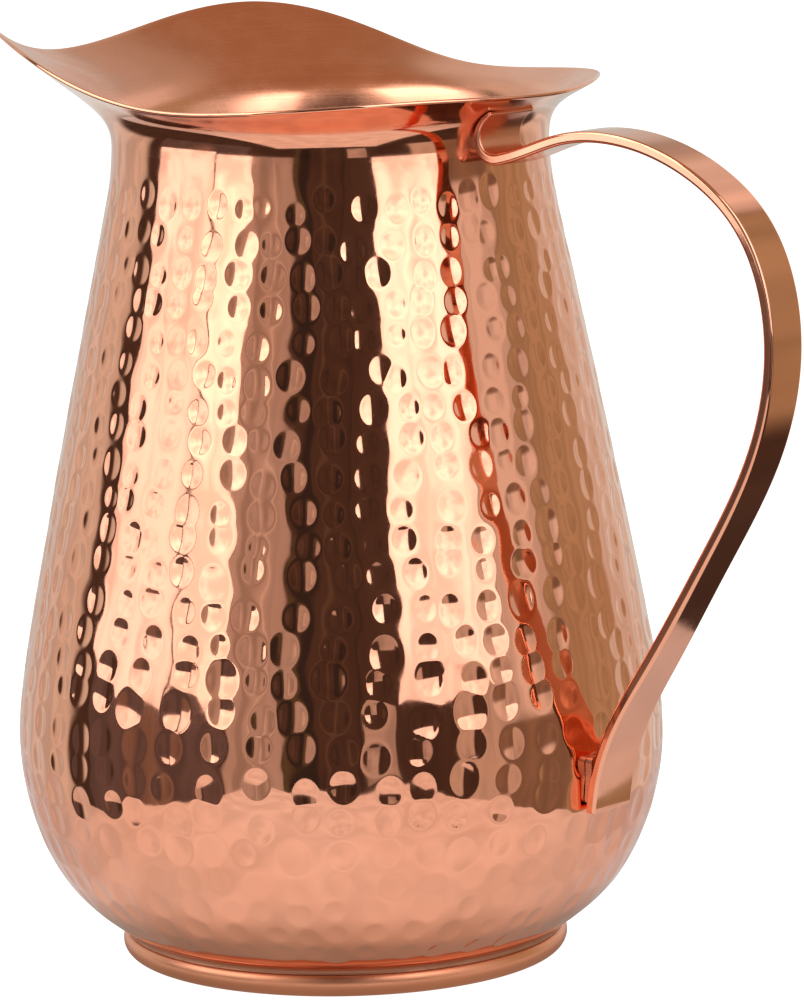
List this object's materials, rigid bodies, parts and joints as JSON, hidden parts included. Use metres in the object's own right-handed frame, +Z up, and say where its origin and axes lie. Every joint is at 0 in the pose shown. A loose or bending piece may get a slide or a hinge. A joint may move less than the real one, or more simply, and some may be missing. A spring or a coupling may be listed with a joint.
{
  "type": "water jug",
  "caption": "Hammered copper water jug with a smooth flared collar, a pulled pouring lip, a rolled foot ring and a flat strap handle.",
  "frame": {"origin": "middle of the foot ring's sole, on the jug's axis", "axes": "+Z up along the jug's axis, -X towards the pouring lip, +X towards the handle, +Y completes a right-handed frame"},
  "size_m": [0.2134, 0.1518, 0.2189],
  "materials": {
    "hammered_copper": "hammered, mirror polished",
    "polished_copper": "mirror polished outside, satin inside",
    "strap_copper": "polished",
    "foot_copper": "satin",
    "floor_copper": "satin",
    "braze": "satin, heat tinted"
  },
  "bodies": {
    "root": {"hammered_body": "hammered_copper", "collar_with_spout": "polished_copper", "neck_braze": "braze", "base_pan": "floor_copper", "base_braze": "braze", "foot_ring": "foot_copper", "foot_braze": "braze", "handle_strap": "strap_copper", "handle_top_braze": "braze", "handle_bottom_braze": "braze"}
  },
  "joints": []
}
